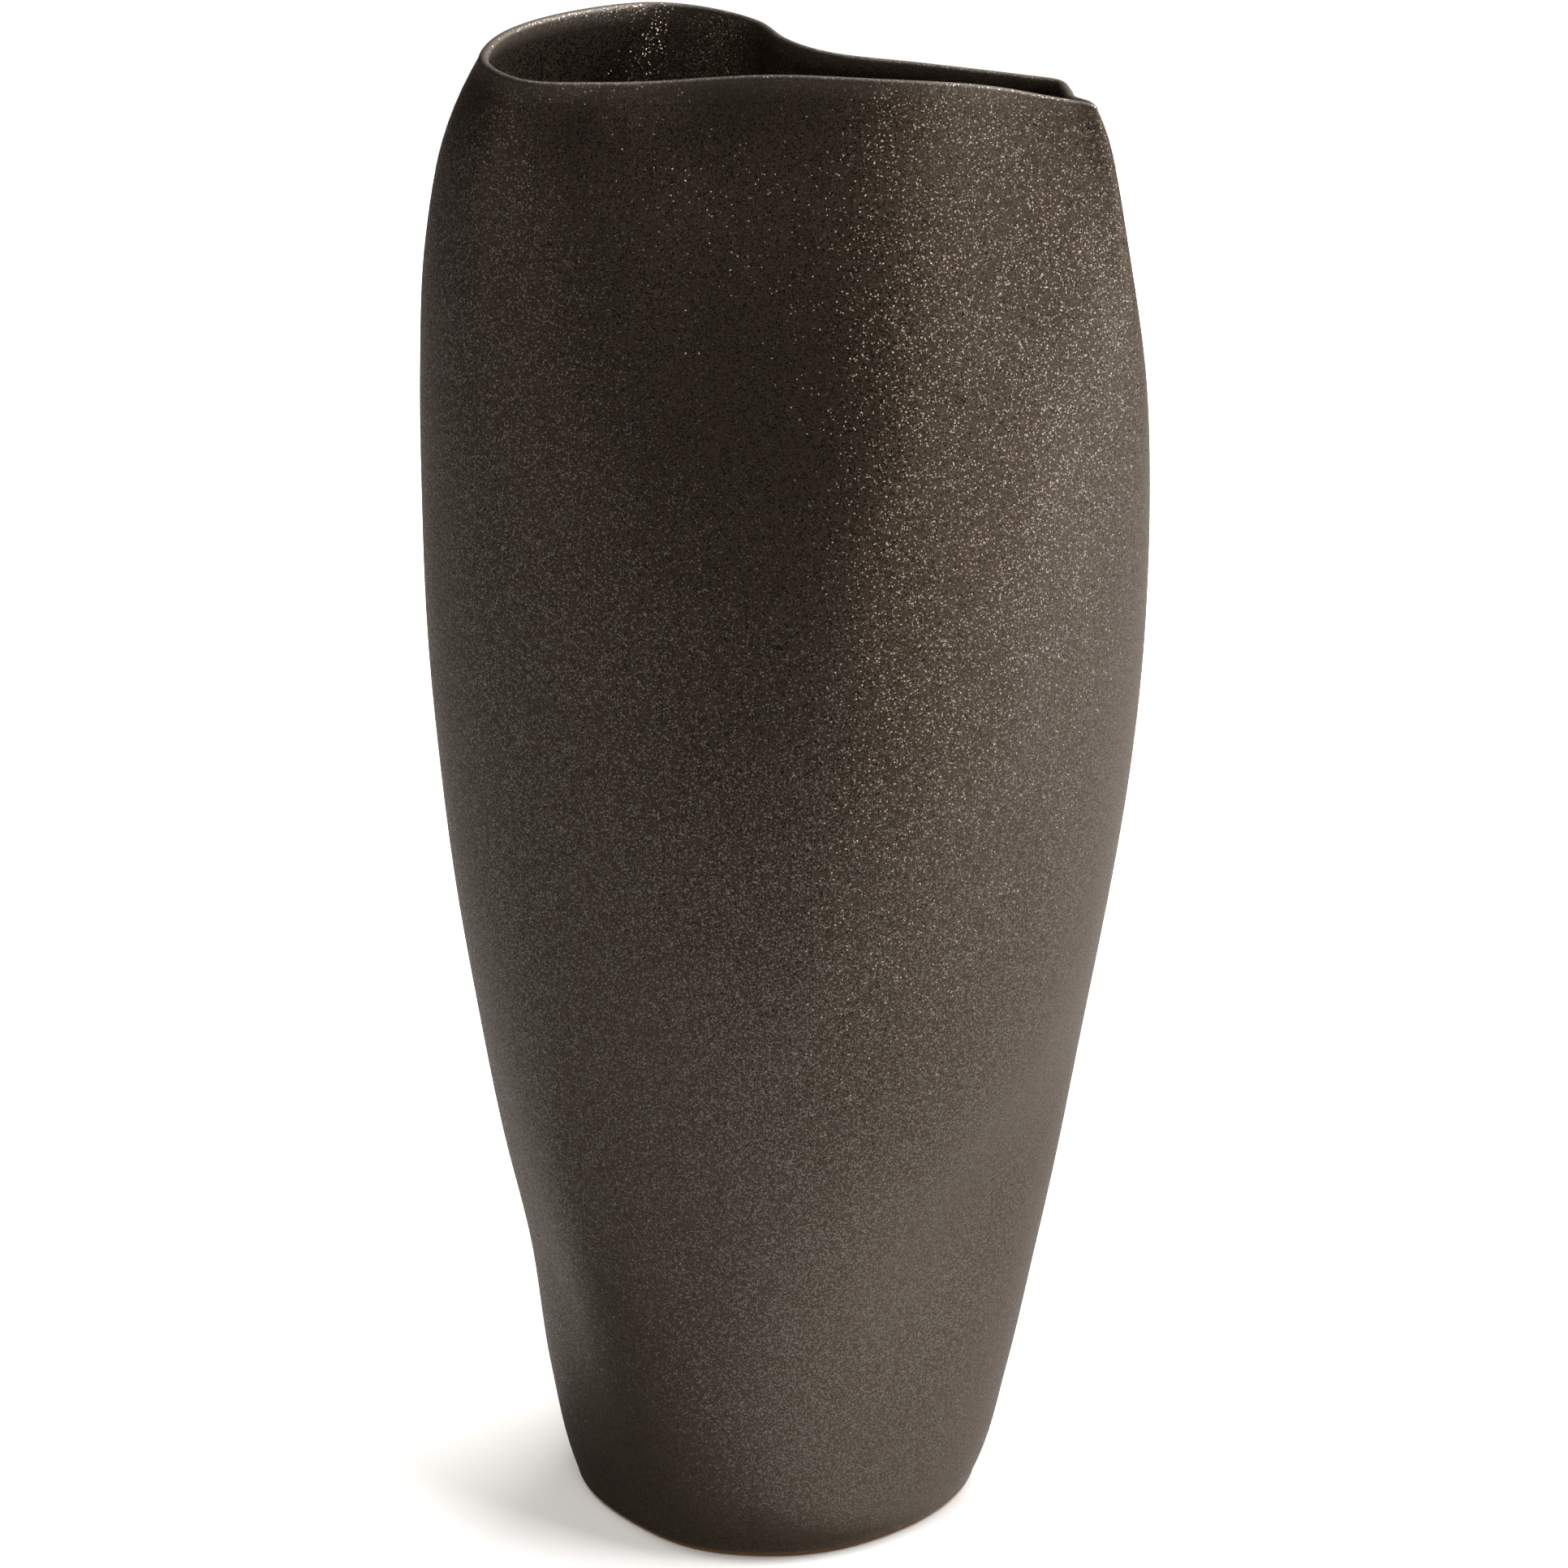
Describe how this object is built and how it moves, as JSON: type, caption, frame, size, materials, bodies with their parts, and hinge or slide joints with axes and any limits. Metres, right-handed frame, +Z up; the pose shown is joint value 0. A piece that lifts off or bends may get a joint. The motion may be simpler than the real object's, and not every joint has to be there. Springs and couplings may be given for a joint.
{
  "type": "stoneware vase",
  "caption": "Tall free-form stoneware vase with a tapering body, pressed hollows and a comma-shaped folded mouth, for stems or as a decorative vessel.",
  "frame": {"origin": "on the table plane, under the middle of the belly's outline", "axes": "+Z up; +X toward the pinched end of the comma-shaped mouth; -Y is the front, where the lip is long and gently waved; +Y is the back, where the mouth is pinched in"},
  "size_m": [0.2182, 0.1937, 0.4567],
  "materials": {
    "glazed_stoneware": "satin bronze-black metallic glaze with fine mica sparkle",
    "glazed_floor": "the same glaze pooled inside, bare clay underneath",
    "raw_stoneware": "unglazed fired buff stoneware, matte",
    "felt": "short grey wool felt"
  },
  "bodies": {
    "root": {"wall": "glazed_stoneware", "floor_slab": "glazed_floor", "foot_ring": "raw_stoneware", "felt_pad_1": "felt", "felt_pad_2": "felt", "felt_pad_3": "felt", "felt_pad_4": "felt"}
  },
  "joints": []
}
